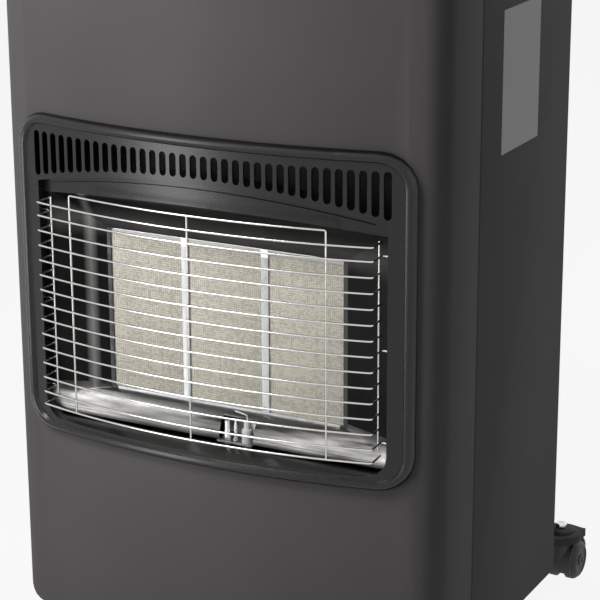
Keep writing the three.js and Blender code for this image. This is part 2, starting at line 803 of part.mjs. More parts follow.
function burnerPlenum() {
  const wall = plenumWall;
  const box = block(
    -plenumHalf - wall, plenumHalf + wall, plaqueFace, plenumRear,
    plenumBottom - wall, plenumTop + wall,
  );
  const flange = block(
    -flangeHalf, flangeHalf, plaqueFace, plaqueFace + wall, flangeBottom, flangeTop,
  );
  const hollow = block(
    -plenumHalf, plenumHalf, plaqueFace - 5, plenumRear - wall, plenumBottom, plenumTop,
  );
  const r = venturiOuter / 2;
  const top = plenumBottom - wall / 2;
  const mouth = venturiMouth;
  const outside = [
    [0, mouth], [r + venturiFlare, mouth], [r + venturiFlare, mouth + 2], [r, mouth + 12],
    [r, top], [0, top],
  ];
  const bore = [
    [0, mouth - 1], [r + venturiFlare - 2, mouth - 1], [r + venturiFlare - 2, mouth + 2],
    [r - 2, mouth + 12], [r - 2, top + 3], [0, top + 3],
  ];
  const at = (profile, place) => {
    return solid(turned(profile, 14).translate(place * plaquePitch, venturiDepth, 0));
  };
  const tubes = plaquePlaces.map(([, place]) => at(outside, place));
  const bores = plaquePlaces.map(([, place]) => at(bore, place));
  const postHeight = (plenumBottom + plenumTop) / 2;
  const posts = [-1, 1].map((side) => {
    const x = side * plaquePitch;
    const from = V(x, plenumRear - wall / 2, postHeight);
    return rod(from, V(x, partitionDepth - seat, postHeight), 5, 8);
  });
  return join(cut(join(box, flange, ...tubes), hollow, ...bores), ...posts);
}

// The reflector widens from the burner to the bezel's window. Its lower wall is a
// concave trough and its other walls are flat.
function reflector() {
  const rear = frameRear - thin - seat;
  const front = ductRear + seat + thin;
  const narrow = burnerHalf + 1;
  const wide = windowHalf - 2;
  const lowRear = plaqueBottom + 0.5;
  const topRear = plaqueTop + gasketHeight - 1;
  const steps = 5;
  const rings = (grow) => {
    return Array.from({ length: steps + 3 }, (_, i) => {
      const t = Math.min(Math.max((i - 1) / steps, 0), 1);
      const angle = (t * Math.PI) / 2;
      const past = i === 0 ? thin * 2 : i === steps + 2 ? -thin * 2 : 0;
      const y = rear + (front - rear) * Math.sin(angle) + past * (grow ? 0 : 1);
      const shareOut = (rear - y) / (rear - front);
      const spread = Math.min(Math.max(shareOut, 0), 1);
      const across = narrow + (wide - narrow) * spread + grow;
      const low = lowRear - troughRadius * (1 - Math.cos(angle)) - grow;
      const high = topRear + (reflectorTop - topRear) * spread + grow;
      const corner = 2 + 8 * spread;
      return roundedElevation(across, low, high, corner, corner, 3).map(([x, z]) => V(x, y, z));
    });
  };
  const inside = loft(rings(0));
  const walls = cut(loft(rings(thin).slice(1, -1)), inside);
  const rearFlange = cut(
    block(-flangeHalf, flangeHalf, rear - thin, rear, flangeBottom, flangeTop), inside,
  );
  const lip = 5;
  const frontRing = roundedElevation(
    windowHalf + lip, lowRear - troughRadius - lip, reflectorTop + lip, 8, 8, 3,
  );
  const frontFlange = cut(prismY(outline(frontRing), front - thin, front), inside);
  const pilotHole = block(
    pilotAcross - 9, pilotAcross + 24, front - 2 * thin, pilotDepth + 6,
    lowRear - troughRadius - 8, lowRear + 3,
  );
  return cut(join(walls, rearFlange, frontFlange), pilotHole);
}

// ---- gas train below the burner ----
const railTop = venturiMouth - injectorGap - injectorHeight;

function gasRail() {
  const z = railTop - seat - railSize / 2;
  const s = railSize / 2;
  const end = plaquePitch + 18;
  const bar = block(-end, end, venturiDepth - s, venturiDepth + s, z - s, z + s);
  const foot = (x) => block(x - 8, x + 8, venturiDepth, partitionDepth - seat, z - 3, z + 3);
  return join(bar, foot(-plaquePitch / 2), foot(plaquePitch / 2));
}

function injector(place) {
  const hex = turned([[0, 0], [6, 0], [6, injectorHeight / 2], [0, injectorHeight / 2]], 6);
  const tip = turned(
    [[0, 1], [4, 1], [4, injectorHeight * 0.75], [1.5, injectorHeight], [0, injectorHeight]], 10,
  );
  const move = (g) => solid(g.translate(place * plaquePitch, venturiDepth, railTop));
  return join(move(hex), move(tip));
}

const pilotPlateTop = plaqueBottom + 0.5 - troughRadius - 5;

const pilotX = pilotAcross - 2.5;
const probeX = pilotAcross + 5.5;
const electrodeX = pilotAcross + 17;

function pilotBracket() {
  const x0 = pilotAcross - 10;
  const x1 = pilotAcross + 24;
  const rear = plaqueFace + 4 * thin;
  const plate = block(
    x0, x1, pilotDepth - 6, rear, pilotPlateTop - sheet, pilotPlateTop,
  );
  const tab = block(x0, x1, rear - sheet, rear, pilotPlateTop - sheet, flangeBottom - seat);
  const hole = (x, r) => {
    return rod(V(x, pilotDepth, 0), V(x, pilotDepth, bodyTop), r + seat, 10);
  };
  return cut(
    join(plate, tab), hole(pilotX, 3.2), hole(probeX, 1.7), hole(electrodeX, 2.2),
  );
}

function pilotBurner() {
  const x = pilotX;
  const z = pilotPlateTop;
  const body = turned(
    [[0, -12], [3.2, -12], [3.2, 8], [2.6, 9], [2.6, 17], [0, 17]], 12,
  );
  const collar = turned([[0, seat], [4.4, seat], [4.4, 3], [0, 3]], 6);
  const move = (g) => solid(g.translate(x, pilotDepth, z));
  return join(move(body), move(collar));
}

function sparkElectrode() {
  const x = electrodeX;
  const z = pilotPlateTop;
  const insulator = turned([
    [0, -10], [2.2, -10], [2.2, seat], [5, seat], [5, 12], [3, 13], [3, 19], [1, 19.8], [0, 19.8],
  ], 12);
  const wireEnd = tube(
    bent([V(x, pilotDepth, z + 18), V(x, pilotDepth, z + 25), V(x - 13, pilotDepth + 2, z + 26)], 2),
    1.4,
  );
  return join(solid(insulator.translate(x, pilotDepth, z)), wireEnd);
}

// ---- controls ----
const slopeStart = frontDepth(0);
const slopeAngle = Math.atan2(topHeight - topNose, topSlopeEnd - slopeStart);
const slopeMiddle = (slopeStart + topSlopeEnd) / 2 + 2;
const topZ = bodyTop + seat;
const slopeHeight = (y) => topZ + topNose + (y - slopeStart) * Math.tan(slopeAngle);
const controls = new THREE.Group();
controls.position.set(controlAcross, slopeMiddle, slopeHeight(slopeMiddle));
controls.rotation.x = slopeAngle;
heater.add(controls);
controls.updateMatrix();

const plateTop = -recessDepth + plateThickness + seat;
const floorTop = -recessDepth;
const plateLedge = 5; // the control plate rests on this much of the recess's floor
const valveWindowHalf = knobDiameter / 2 + 5; // the floor is open here, so that the valve reaches the plate

function topCover() {
  const height = topZ + topHeight;
  const side = (inset, bottom) => [
    [slopeStart - 20, bottom],
    [sideRear - inset, bottom],
    [sideRear - inset, height - inset - 6],
    [sideRear - inset - 6, height - inset],
    [topSlopeEnd, height - inset],
    [slopeStart, slopeHeight(slopeStart) - inset],
    [slopeStart - 20, slopeHeight(slopeStart - 20) - inset],
  ];
  const form = (inset, bottom) => {
    const plan = prismZ(frontPlan(inset, sideRear - inset), bottom, height + 1);
    return plan.intersect(prismX(outline(side(inset, bottom)), -half, half));
  };
  const shell = cut(form(0, topZ), form(topWall, topZ - 1));
  const locator = (inset) => {
    const rear = sideRear - sheet - seat - (inset - sheet - seat);
    return prismZ(frontPlan(inset, rear), topZ - topLocator, topZ + topWall);
  };
  const inset = 2 * sheet + 3 * seat;
  const foldClear = (across) => block(
    across < 0 ? -half : half - foldWidth - seat,
    across < 0 ? -half + foldWidth + seat : half,
    seamDepth, sideRear, topZ - 2 * topLocator, topZ - seat / 2,
  );
  const lip = cut(
    locator(inset), locator(inset + topWall), foldClear(-1), foldClear(1),
  );
  const behindLip = block(-half, half, seamDepth + 12, sideRear, topZ - topLocator - 1, topZ - 0.01);
  const ledge = cut(
    prismZ(frontPlan(topWall / 2, sideRear - topWall / 2), topZ, topZ + topWall),
    prismZ(frontPlan(inset + topWall, sideRear - inset - topWall), topZ - 1, topZ + topWall + 1),
  );
  const pocket = (grow, w0, w1) => {
    const box = boxGeometry(
      -recessLength / 2 - grow, recessLength / 2 + grow,
      -recessWidth / 2 - grow, recessWidth / 2 + grow, w0, w1,
    );
    return solid(box.applyMatrix4(controls.matrix));
  };
  const tub = pocket(topWall, floorTop - topWall, -topWall / 2);
  const valveWindow = solid(boxGeometry(
    knobAcross - valveWindowHalf, knobAcross + valveWindowHalf,
    -recessWidth / 2 + plateLedge, recessWidth / 2 - plateLedge, floorTop - topWall - 1, floorTop + 1,
  ).applyMatrix4(controls.matrix));
  const bore = (u, radius) => {
    const pin = new THREE.CylinderGeometry(radius, radius, 60, 16).rotateX(Math.PI / 2);
    return solid(pin.translate(u, 0, 0).applyMatrix4(controls.matrix));
  };
  return cut(
    join(shell, ledge, cut(lip, behindLip), tub), pocket(0, floorTop, 20),
    valveWindow, bore(buttonAcross, igniterRadius + seat),
  );
}

function controlPlate() {
  const low = floorTop + seat;
  const plate = block(
    -recessLength / 2 + seat, recessLength / 2 - seat,
    -recessWidth / 2 + seat, recessWidth / 2 - seat, low, plateTop,
  );
  const bore = (u, radius) => rod(V(u, 0, -40), V(u, 0, 40), radius, 20);
  return cut(plate, bore(knobAcross, 6.5), bore(buttonAcross, buttonDiameter / 2 + seat));
}

const underFloor = floorTop - topWall - seat;
const igniterRadius = buttonDiameter / 2 + 2; // barrel of the igniter

function valveBody() {
  const w = valveWidth / 2;
  const d = valveDepth / 2;
  const low = underFloor - valveHeight;
  const x = knobAcross;
  const core = block(x - w, x + w, -d, d, low, underFloor - 4);
  const neck = rod(V(x, 0, underFloor - 5), V(x, 0, floorTop), 13, 16);
  const outlet = rod(V(x - w + 1, 0, low + 10), V(x - w - 8, 0, low + 10), 5.5, 6);
  const pilotOutlet = rod(V(x + w - 9, -d + 1, low + 8), V(x + w - 9, -d - 6, low + 8), 4, 6);
  const inlet = rod(V(x, d - 1, low + 12), V(x, d + 5, low + 12), 8, 8);
  const bore = rod(V(x, 0, underFloor - 22), V(x, 0, 20), 5 + seat, 16);
  return cut(join(core, neck, outlet, pilotOutlet, inlet), bore);
}

function valvePlunger() {
  const x = knobAcross;
  const low = underFloor - 22 + knobTravel + 1;
  const outside = rod(V(x, 0, low), V(x, 0, plateTop + knobTravel + 0.7), 5, 16);
  const bore = rod(V(x, 0, low + 4), V(x, 0, plateTop + 20), 3 + seat, 12);
  return cut(outside, bore);
}

function valveSpindle() {
  const x = knobAcross;
  const low = underFloor - 22 + knobTravel + 1 + 4 + seat;
  const bar = rod(V(x, 0, low), V(x, 0, plateTop + knobTravel + 13), 3, 12);
  const flat = block(x - 5, x + 5, 1.6, 5, plateTop + knobTravel + 3, plateTop + knobTravel + 14);
  return cut(bar, flat);
}

function controlKnob() {
  const x = knobAcross;
  const low = plateTop + knobTravel + 1;
  const r = knobDiameter / 2;
  const h = knobHeight;
  const skirt = turned(
    [[0, 0], [r, 0], [r, 3], [r - 1.5, 5], [r - 3, h - 8], [0, h - 8]], 28,
  );
  const grip = turned([[0, 4], [r - 3.2, 4], [r - 4, h - 1.2], [r - 5.2, h], [0, h]], 28);
  const place = (g) => solid(g.translate(x, 0, low));
  const bar = 5.5;
  const scoop = (side) => {
    const y = [side * bar, side * (r + 2)].sort((a, b) => a - b);
    return block(x - r, x + r, ...y, low + h - 8, low + h + 1);
  };
  const socket = rod(V(x, 0, low - 1), V(x, 0, low + 12.5), 3 + seat, 12);
  const key = block(x - 5, x + 5, 1.6 + seat, 5, low + 2, low + 13);
  const relief = rod(V(x, 0, low - 1), V(x, 0, low + 1.4), 5 + 2 * seat, 16);
  const pointer = block(x - r + 3.5, x - r + 12, -0.8, 0.8, low + h - 0.8, low + h + 1);
  const knob = cut(join(place(skirt), cut(place(grip), scoop(-1), scoop(1))), pointer);
  return cut(knob, cut(socket, key), relief);
}

function igniterBody() {
  const x = buttonAcross;
  const r = buttonDiameter / 2;
  const top = plateTop - plateThickness - seat;
  const barrel = rod(V(x, 0, underFloor - 36), V(x, 0, top), igniterRadius, 16);
  const nut = rod(V(x, 0, underFloor - 5), V(x, 0, underFloor), igniterRadius + 3, 6);
  const tag = block(x - 2, x + 2, -0.6, 0.6, underFloor - 42, underFloor - 35);
  const bore = rod(V(x, 0, top - 14), V(x, 0, 20), r + seat, 20);
  return cut(join(barrel, nut, tag), bore);
}

function igniterButton() {
  const x = buttonAcross;
  const r = buttonDiameter / 2;
  const top = plateTop + buttonTravel + 1;
  const low = plateTop - plateThickness - seat - 14 + buttonTravel + seat;
  const cap = turned([[0, low], [r, low], [r, top - 1], [r - 1, top], [0, top]], 20);
  return solid(cap.translate(x, 0, 0));
}

// ---- pipes and leads ----
const world = (u, v, w) => V(u, v, w).applyMatrix4(controls.matrix);

function supplyPipe() {
  const low = underFloor - valveHeight;
  const start = world(knobAcross - valveWidth / 2 - 8 - seat, 0, low + 10);
  const out = world(knobAcross - valveWidth / 2 - 20, 0, low + 10);
  const railZ = railTop - seat - railSize / 2;
  const end = V(plaquePitch + 18 + seat, venturiDepth, railZ);
  const lane = V(windowHalf + 20, partitionDepth - 22, 0);
  const corners = [
    start, out, V(out.x - 14, lane.y - 14, bodyTop - 90), V(lane.x, lane.y, bodyTop - 150),
    V(lane.x, lane.y, railZ + 30), V(lane.x - 10, venturiDepth, railZ), end,
  ];
  return tube(bent(corners, 10, 3), pipe, 8);
}

function pilotPipe() {
  const low = underFloor - valveHeight;
  const u = knobAcross + valveWidth / 2 - 9;
  const start = world(u, -valveDepth / 2 - 6 - seat, low + 8);
  const out = world(u, -valveDepth / 2 - 16, low + 8);
  const lane = V(windowHalf + 22, partitionDepth - 40, 0);
  const z = pilotPlateTop - 12 - seat;
  const corners = [
    start, out, V(lane.x, lane.y, bodyTop - 120), V(lane.x, lane.y, z - 8),
    V(pilotX + 24, pilotDepth + 14, z - 22), V(pilotX, pilotDepth, z - 22),
    V(pilotX, pilotDepth, z),
  ];
  return tube(bent(corners, 8, 3), 3.5, 6);
}

function thermocouple() {
  const x = probeX;
  const z = pilotPlateTop;
  const probe = solid(turned(
    [[0, -8], [1.7, -8], [1.7, 14], [1.2, 16], [1.2, 20], [0, 20]], 10,
  ).translate(x, pilotDepth, z));
  const stop = solid(turned([[0, seat], [2.6, seat], [2.6, 2.5], [0, 2.5]], 10)
    .translate(x, pilotDepth, z));
  const low = underFloor - valveHeight;
  const plug = world(knobAcross + 8, 0, low - seat);
  const lane = V(windowHalf + 14, partitionDepth - 30, 0);
  const corners = [
    V(x, pilotDepth, z - 7), V(x, pilotDepth, z - 20), V(x + 20, pilotDepth + 18, z - 26),
    V(plaquePitch + 34, pilotDepth + 18, z - 26), V(lane.x, lane.y, z - 14),
    V(lane.x, lane.y, bodyTop - 110),
    world(knobAcross + 8, 0, low - 14), plug,
  ];
  return join(probe, stop, tube(bent(corners, 6, 3), 2.4, 6));
}

function ignitionLead() {
  const start = world(buttonAcross, 0, underFloor - 42 - seat);
  const x = electrodeX;
  const z = pilotPlateTop - 10 - seat;
  const lane = V(windowHalf + 28, partitionDepth - 52, 0);
  const corners = [
    start, world(buttonAcross, 0, underFloor - 52), V(lane.x, lane.y, bodyTop - 100),
    V(lane.x, lane.y, z - 24), V(x + 34, pilotDepth + 4, z - 32), V(x, pilotDepth, z - 14),
    V(x, pilotDepth, z),
  ];
  return tube(bent(corners, 8, 3), 3, 6);
}

function hoseNozzle() {
  const low = underFloor - valveHeight;
  const start = world(knobAcross, valveDepth / 2 + 5 + seat, low + 12);
  const length = 44;
  const profile = [
    [0, 0], [8, 0], [8, 8], [4.5, 10], [4.5, 14], [5.6, 15], [4.5, 21], [5.6, 22], [4.5, 28],
    [5.6, 29], [4.2, length - 6], [3.8, length], [0, length],
  ];
  const bore = [[0, 3], [2.5, 3], [2.5, length + 1], [0, length + 1]];
  const aim = (g) => {
    g.rotateX(-Math.PI / 2 + slopeAngle);
    return solid(g.translate(start.x, start.y, start.z));
  };
  return cut(aim(turned(profile, 12)), aim(turned(bore, 8)));
}

// ---- castors ----
const axleHeight = wheelDiameter / 2;
const hoodRadius = wheelDiameter / 2 + hoodGap + hoodWall;
const bracketTop = trayBottom - seat;
const bracketBottom = bracketTop - bracketDepth;
const hoodTop = bracketBottom - seat;
const wheelInner = webWidth / 2 + seat;
const wheelOuter = wheelInner + wheelWidth;

function bracketPlan(inset, towards) {
  const r = bracketRadius - inset;
  const points = [];
  const tip = bracketTip - inset;
  const lean = Math.acos(r / (tip - 1)); // where the tip's straight sides leave the round
  const steps = 4;
  for (let i = 0; i <= steps; i++) {
    const a = towards + Math.PI / 2 + ((Math.PI / 2 - lean) * i) / steps;
    points.push([r * Math.cos(a), r * Math.sin(a)]);
  }
  for (const [reach, side] of [[tip - 2.2, -2.4], [tip - 0.6, -1.4], [tip, 0], [tip - 0.6, 1.4], [tip - 2.2, 2.4]]) {
    const a = towards + Math.PI;
    points.push([
      reach * Math.cos(a) - side * Math.sin(a), reach * Math.sin(a) + side * Math.cos(a),
    ]);
  }
  for (let i = 0; i <= steps; i++) {
    const a = towards + Math.PI + lean + ((Math.PI / 2 - lean) * i) / steps;
    points.push([r * Math.cos(a), r * Math.sin(a)]);
  }
  const reach = armLength - inset;
  const [ux, uy] = [Math.cos(towards), Math.sin(towards)];
  points.push([ux * reach + uy * r, uy * reach - ux * r]);
  points.push([ux * reach - uy * r, uy * reach + ux * r]);
  return outline(points);
}

function castorBracket(x, y, towards) {
  const place = (body) => body.translate([x, y, 0]);
  const plate = prismZ(bracketPlan(0, towards), bracketBottom, bracketTop);
  const under = prismZ(bracketPlan(2, towards), bracketBottom - 1, bracketTop - 2.5);
  const r = domeRadius;
  const dome = solid(turned(
    [[0, bracketTop - 1], [r, bracketTop - 1], [r * 0.93, bracketTop + bossHeight * 0.6],
      [r * 0.7, bracketTop + bossHeight], [0, bracketTop + bossHeight]], 18,
  ));
  const boss = rod(V(0, 0, bracketBottom), V(0, 0, bracketTop - 1), 8, 14);
  const hole = rod(V(0, 0, 0), V(0, 0, bracketTop + 20), stemDiameter / 2 + seat, 12);
  return place(cut(join(cut(plate, under), dome, boss), hole));
}

function castorBolt(x, y) {
  const head = bracketTop + bossHeight + seat;
  const shank = rod(V(x, y, axleHeight + 6), V(x, y, head + 1), stemDiameter / 2, 10);
  return join(shank, rod(V(x, y, head), V(x, y, head + 4), 5.5, 6));
}

function castorHood(x, y) {
  const c = y + castorTrail;
  const arc = (radius, from, to, steps) => Array.from({ length: steps + 1 }, (_, i) => {
    const a = from + ((to - from) * i) / steps;
    return [c + radius * Math.cos(a), axleHeight + radius * Math.sin(a)];
  });
  const start = 0.3;
  const end = Math.PI + 0.35;
  const inside = hoodRadius - hoodWall;
  const coverShape = outline([
    ...arc(hoodRadius, start, end, 12), ...arc(inside, end, start, 12),
  ]);
  const cover = prismX(coverShape, x - wheelOuter + wheelDome, x + wheelOuter - wheelDome);
  const web = prismX(
    outline([...arc(hoodRadius - 0.5, start, end, 12), [c - 6, axleHeight - 9], [c + 6, axleHeight - 9]]),
    x - webWidth / 2, x + webWidth / 2,
  );
  const boss = rod(V(x, y, hoodRadius), V(x, y, hoodTop), 9, 14);
  const inner = prismX(outline(arc(inside + 0.4, 0, 1.9 * Math.PI, 20)), x - half, x + half);
  const bossOut = cut(boss, inner);
  const stemHole = rod(
    V(x, y, axleHeight + 5), V(x, y, hoodTop + 5), stemDiameter / 2 + seat, 12,
  );
  const axleHole = rod(
    V(x - half, c, axleHeight), V(x + half, c, axleHeight), axleDiameter / 2 + seat, 12,
  );
  return cut(join(cover, web, bossOut), stemHole, axleHole);
}

function castorAxle(x, y) {
  const c = y + castorTrail;
  const end = wheelOuter - 1;
  return rod(V(x - end, c, axleHeight), V(x + end, c, axleHeight), axleDiameter / 2, 10);
}

function castorWheel(x, y, side) {
  const r = wheelDiameter / 2;
  const bore = axleDiameter / 2 + seat;
  const profile = [
    [bore, 0], [r, 0], [r, wheelWidth - 1.6 * wheelDome], [r - 1, wheelWidth - wheelDome],
    [r - 3.2, wheelWidth - 0.35 * wheelDome], [r - 6, wheelWidth],
    [r - 7.5, wheelWidth - 1.5], [6, wheelWidth - 1.5], [6, wheelWidth], [bore, wheelWidth],
    [bore, 0],
  ];
  const wheel = turned(profile, 20).rotateY((side * Math.PI) / 2);
  return solid(wheel.translate(x + side * wheelInner, y + castorTrail, axleHeight));
}

// ---- put together ----
add("front_panel", frontPanel(), "coat");
add("left_side_panel", sidePanel(-1), "coat");
add("right_side_panel", sidePanel(1), "coat");
add("base_tray", baseTray(), "coat");
add("heat_shield", heatShield(), "galvanised");
add("rear_cover", rearCover(), "coat");
add("top_cover", topCover(), "moulded");
add("bezel", bezel(), "gloss");
add("wire_guard", wireGuard(), "chrome");
add("reflector", reflector(), "polished");
add("burner_frame", burnerFrame(), "galvanised");
add("burner_plenum", burnerPlenum(), "galvanised");
add("gasket_strip", gasketStrip(), "fibre");
add("gas_rail", gasRail(), "brass");
for (const [name, place] of plaquePlaces) {
  add("ceramic_plaque_" + name, plaque(place), "ceramic");
  add("injector_" + name, injector(place), "brass");
}
add("pilot_bracket", pilotBracket(), "galvanised");
add("pilot_burner", pilotBurner(), "polished");
add("thermocouple", thermocouple(), "copper");
add("spark_electrode", sparkElectrode(), "insulator");
add("supply_pipe", supplyPipe(), "copper");
add("pilot_pipe", pilotPipe(), "copper");
add("ignition_lead", ignitionLead(), "rubber");
add("hose_nozzle", hoseNozzle(), "brass");
add("control_plate", controlPlate(), "moulded", controls);
add("valve_body", valveBody(), "galvanised", controls);
add("valve_plunger", valvePlunger(), "brass", controls);
add("valve_spindle", valveSpindle(), "brass", controls);
add("control_knob", controlKnob(), "moulded", controls);
add("igniter_body", igniterBody(), "moulded", controls);
add("igniter_button", igniterButton(), "rubber", controls);

const castorPlaces = [
  ["front_left", -frontStem[0], frontStem[1], Math.PI / 2],
  ["front_right", frontStem[0], frontStem[1], Math.PI / 2],
  ["rear_left", -rearStem[0], rearStem[1], -Math.PI * 0.22],
  ["rear_right", rearStem[0], rearStem[1], -Math.PI * 0.78],
];
for (const [name, x, y, towards] of castorPlaces) {
  add("castor_bracket_" + name, castorBracket(x, y, towards), "coat");
  add("castor_bolt_" + name, castorBolt(x, y), "galvanised");
  add("castor_hood_" + name, castorHood(x, y), "moulded");
  add("castor_axle_" + name, castorAxle(x, y), "galvanised");
  add("castor_wheel_a_" + name, castorWheel(x, y, -1), "rubber");
  add("castor_wheel_b_" + name, castorWheel(x, y, 1), "rubber");
}

// The origin goes to the bottom centre of the whole box.
heater.updateMatrixWorld(true);
const bounds = new THREE.Box3().setFromObject(heater, true);
heater.position.y = -(bounds.min.y + bounds.max.y) / 2;

export default heater;
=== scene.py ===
import json
import math

import bpy
from mathutils import Matrix, Vector

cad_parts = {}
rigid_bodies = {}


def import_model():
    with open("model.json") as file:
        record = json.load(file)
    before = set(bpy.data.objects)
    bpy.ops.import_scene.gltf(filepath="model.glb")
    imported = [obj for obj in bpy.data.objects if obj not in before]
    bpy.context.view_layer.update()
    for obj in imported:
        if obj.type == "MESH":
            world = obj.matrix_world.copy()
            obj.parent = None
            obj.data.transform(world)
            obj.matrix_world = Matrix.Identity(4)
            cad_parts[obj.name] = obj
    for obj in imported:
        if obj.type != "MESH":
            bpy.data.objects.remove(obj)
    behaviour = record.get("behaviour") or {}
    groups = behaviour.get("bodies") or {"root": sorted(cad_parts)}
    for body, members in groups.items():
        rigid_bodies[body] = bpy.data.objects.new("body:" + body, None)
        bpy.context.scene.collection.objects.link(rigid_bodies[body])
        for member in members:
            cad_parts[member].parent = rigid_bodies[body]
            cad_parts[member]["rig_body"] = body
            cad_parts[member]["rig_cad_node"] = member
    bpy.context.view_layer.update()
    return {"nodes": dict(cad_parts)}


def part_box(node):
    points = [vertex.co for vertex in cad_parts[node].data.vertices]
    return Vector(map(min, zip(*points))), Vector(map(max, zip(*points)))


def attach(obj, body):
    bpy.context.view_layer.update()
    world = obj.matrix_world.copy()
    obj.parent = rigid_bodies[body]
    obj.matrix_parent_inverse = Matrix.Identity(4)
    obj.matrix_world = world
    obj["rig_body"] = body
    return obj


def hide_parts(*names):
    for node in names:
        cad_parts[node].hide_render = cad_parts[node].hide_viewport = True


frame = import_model()
mm = 0.001

# ---------------------------------------------------------------- floor, light and camera
# The heater stands on a plain pale floor before a white background. A tall soft lamp at its left
# front makes the long fade over the bulged front panel, and weaker ones fill the other sides.


class Value:
    """A socket of a material's nodes, on which Python's operators work as shader maths."""

    def __init__(self, finish, socket):
        self.finish = finish
        self.socket = socket

    def maths(self, operation, *values):
        inputs = dict(enumerate(values))
        return self.finish.node("ShaderNodeMath", {"operation": operation}, inputs)

    def __add__(self, other):
        return self.maths("ADD", self, other)

    def __sub__(self, other):
        return self.maths("SUBTRACT", self, other)

    def __mul__(self, other):
        return self.maths("MULTIPLY", self, other)

    def __truediv__(self, other):
        return self.maths("DIVIDE", self, other)

    def __rsub__(self, other):
        return self.maths("SUBTRACT", other, self)

    def __gt__(self, other):
        return self.maths("GREATER_THAN", self, other)

    def __lt__(self, other):
        return self.maths("LESS_THAN", self, other)

    def __abs__(self):
        return self.maths("ABSOLUTE", self)

    __radd__ = __add__
    __rmul__ = __mul__

    def either(self, other):
        return self.maths("MAXIMUM", self, other)

    def both(self, other):
        return self.maths("MINIMUM", self, other)

    def repeat(self, period):
        """Distance along this value to the middle of the nearest of its even periods."""
        return abs(self.maths("FRACT", self / period) - 0.5) * period

    def blend(self, dark, light):
        """A colour between two others, with this value as its factor."""
        settings = {"data_type": "RGBA"}
        return self.finish.node("ShaderNodeMix", settings, {0: self, 6: dark, 7: light}, 2)


class Finish:
    """A material and its nodes. Its shader's plain sockets are set by name."""

    def __init__(self, name, color, roughness, metallic=0.0, **plain):
        self.material = bpy.data.materials.new(name)
        self.material.use_nodes = True
        self.tree = self.material.node_tree
        self.shader = self.tree.nodes["Principled BSDF"]
        self.set(color=(*color, 1.0), roughness=roughness, metallic=metallic, **plain)

    sockets = {
        "color": "Base Color",
        "specular": "Specular IOR Level",
        "coat": "Coat Weight",
        "coat_roughness": "Coat Roughness",
        "normal": "Normal",
    }

    def connect(self, value, socket):
        if isinstance(value, Value):
            self.tree.links.new(value.socket, socket)
        elif hasattr(socket.default_value, "__len__") and len(value) < len(socket.default_value):
            socket.default_value = (*value, 1.0)
        else:
            socket.default_value = value

    def set(self, **values):
        for name, value in values.items():
            socket = self.sockets.get(name, name.capitalize())
            self.connect(value, self.shader.inputs[socket])
        return self

    def node(self, kind, settings, inputs, output=0):
        node = self.tree.nodes.new(kind)
        for name, value in settings.items():
            setattr(node, name, value)
        for socket, value in inputs.items():
            self.connect(value, node.inputs[socket])
        return Value(self, node.outputs[output])

    def place(self):
        """Object coordinates, in metres."""
        return self.node("ShaderNodeTexCoord", {}, {}, "Object")

    def axes(self):
        """The three object coordinates, one by one."""
        place = self.place()
        return [
            self.node("ShaderNodeSeparateXYZ", {}, {"Vector": place}, axis) for axis in "XYZ"
        ]

    def grain(self, size, detail=2.0, stretch=(1, 1, 1)):
        """Noise whose blotches are about this many metres across, from 0 to 1."""
        place = self.node("ShaderNodeMapping", {}, {"Vector": self.place(), "Scale": stretch})
        inputs = {"Vector": place, "Scale": 1 / size, "Detail": detail}
        return self.node("ShaderNodeTexNoise", {}, inputs)

    def relief(self, height, depth, strength):
        """Turns a height from 0 to 1 into bumps this many metres deep."""
        inputs = {"Height": height, "Distance": depth, "Strength": strength}
        return self.node("ShaderNodeBump", {}, inputs)


def only(obj):
    """Selects this object alone and makes it the active one."""
    bpy.ops.object.select_all(action="DESELECT")
    obj.select_set(True)
    bpy.context.view_layer.objects.active = obj
    return obj


view_azimuth = math.radians(27.5)
view_elevation = math.radians(17.5)
view_roll = math.radians(-0.26)
view_distance = 1.848
sensor = 36
picture_width = 600
focal_length = 2158  # in the picture's pixels
view_back = Vector((
    math.sin(view_azimuth) * math.cos(view_elevation),
    -math.cos(view_azimuth) * math.cos(view_elevation),
    math.sin(view_elevation),
))
view_right = Vector((math.cos(view_azimuth), math.sin(view_azimuth), 0))
view_up = view_back.cross(view_right)
front_return = 76 * mm  # from the panel's vertical corners back to the seam
panel_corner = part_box("front_panel")[1].y - front_return
window_middle = 286 * mm
aim = Vector((0, panel_corner, window_middle)) + 74 * mm * view_right + 75 * mm * view_up
turned_right = math.cos(view_roll) * view_right + math.sin(view_roll) * view_up
turned_up = view_back.cross(turned_right)
bpy.ops.object.camera_add(location=aim + view_distance * view_back)
camera = bpy.context.object
camera.name = "camera"
camera.rotation_euler = (
    Matrix((turned_right, turned_up, view_back)).transposed().to_euler()
)
camera.data.lens = focal_length / picture_width * sensor
camera.data.sensor_width = sensor
bpy.context.scene.camera = camera

bpy.ops.mesh.primitive_plane_add(size=16, location=(0, 0, 0))
floor = bpy.context.object
floor.name = "floor"
pale = Finish("pale_floor", (0.6, 0.6, 0.6), 0.9, specular=0.0)
glow = pale.node("ShaderNodeEmission", {}, {"Color": (1, 1, 1, 1), "Strength": 1.0})
lit = pale.node("ShaderNodeLightPath", {}, {}, "Is Camera Ray")
mirrored = pale.node("ShaderNodeLightPath", {}, {}, "Is Glossy Ray")
through = pale.node("ShaderNodeLightPath", {}, {}, "Is Transmission Ray")
whitening = 0.9  # what is left of the floor's own shading is its shadow
share = lit.either(mirrored).either(through) * whitening
mixed = pale.node("ShaderNodeMixShader", {}, {
    0: share, 1: Value(pale, pale.shader.outputs[0]), 2: glow,
})
pale.connect(mixed, pale.tree.nodes["Material Output"].inputs["Surface"])
floor.data.materials.append(pale.material)

